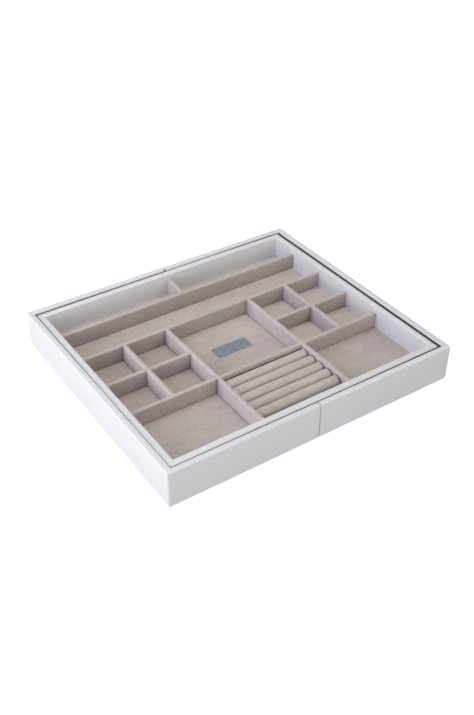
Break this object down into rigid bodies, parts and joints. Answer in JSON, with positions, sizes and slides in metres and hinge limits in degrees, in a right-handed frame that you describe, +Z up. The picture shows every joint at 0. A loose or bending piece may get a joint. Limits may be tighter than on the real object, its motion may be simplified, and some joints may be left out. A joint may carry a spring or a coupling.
{
  "type": "jewelry tray",
  "caption": "Expanding jewelry drawer tray: a velvet-lined divided tray with ring rolls in a leatherette shell whose left and right halves slide apart sideways.",
  "frame": {"origin": "middle of the closed tray's footprint, on the surface it stands on", "axes": "+X to the right along the long side and the direction the right half slides, -Y the front, +Z up"},
  "size_m": [0.37, 0.326, 0.045],
  "materials": {
    "leatherette_white": "satin",
    "velvet_taupe": "matte",
    "foam_core": "matte",
    "felt_grey": "matte",
    "plate_blue_grey": "satin",
    "rail_plastic": "satin",
    "stud_plastic": "satin",
    "screw_steel": "satin",
    "card_grey": "matte",
    "board_mdf": "matte"
  },
  "bodies": {
    "inner_tray": {"back_long_divider": "velvet_taupe", "back_short_divider": "velvet_taupe", "back_short_divider_core": "card_grey", "centre_divider_cores": "card_grey", "centre_left_divider": "velvet_taupe", "centre_right_divider": "velvet_taupe", "front_divider_cores": "card_grey", "grid_cross_divider_cores": "card_grey", "grid_mid_divider_cores": "card_grey", "guide_rail_back": "rail_plastic", "guide_rail_front": "rail_plastic", "inner_back_board": "board_mdf", "inner_base_board": "board_mdf", "inner_cover": "leatherette_white", "inner_front_board": "board_mdf", "inner_left_board": "board_mdf", "inner_right_board": "board_mdf", "label_plate": "plate_blue_grey", "left_front_divider": "velvet_taupe", "left_grid_cross_divider": "velvet_taupe", "left_grid_mid_divider": "velvet_taupe", "long_divider_cores": "card_grey", "rail_screws": "screw_steel", "right_front_divider": "velvet_taupe", "right_grid_cross_divider": "velvet_taupe", "right_grid_mid_divider": "velvet_taupe", "ring_divider": "velvet_taupe", "ring_divider_core": "card_grey", "ring_pad_base": "card_grey", "ring_roll_1": "velvet_taupe", "ring_roll_2": "velvet_taupe", "ring_roll_3": "velvet_taupe", "ring_roll_4": "velvet_taupe", "ring_roll_5": "velvet_taupe", "ring_roll_foam": "foam_core", "second_long_divider": "velvet_taupe", "velvet_floor": "velvet_taupe"},
    "left_half": {"left_end_board": "board_mdf", "left_front_board": "board_mdf", "left_back_board": "board_mdf", "left_base_board": "board_mdf", "left_cover": "leatherette_white", "left_base_lining": "velvet_taupe", "left_wall_lining": "velvet_taupe", "left_underside_felt": "felt_grey", "left_guide_studs": "stud_plastic", "left_stud_screws": "screw_steel"},
    "right_half": {"right_end_board": "board_mdf", "right_front_board": "board_mdf", "right_back_board": "board_mdf", "right_base_board": "board_mdf", "right_cover": "leatherette_white", "right_base_lining": "velvet_taupe", "right_wall_lining": "velvet_taupe", "right_underside_felt": "felt_grey", "right_guide_studs": "stud_plastic", "right_stud_screws": "screw_steel"}
  },
  "joints": [
    {"name": "left_slide", "type": "slide", "parent": "inner_tray", "child": "left_half", "axis": [-1, 0, 0], "range_m": [0, 0.09]},
    {"name": "right_slide", "type": "slide", "parent": "inner_tray", "child": "right_half", "axis": [1, 0, 0], "range_m": [0, 0.09]}
  ]
}
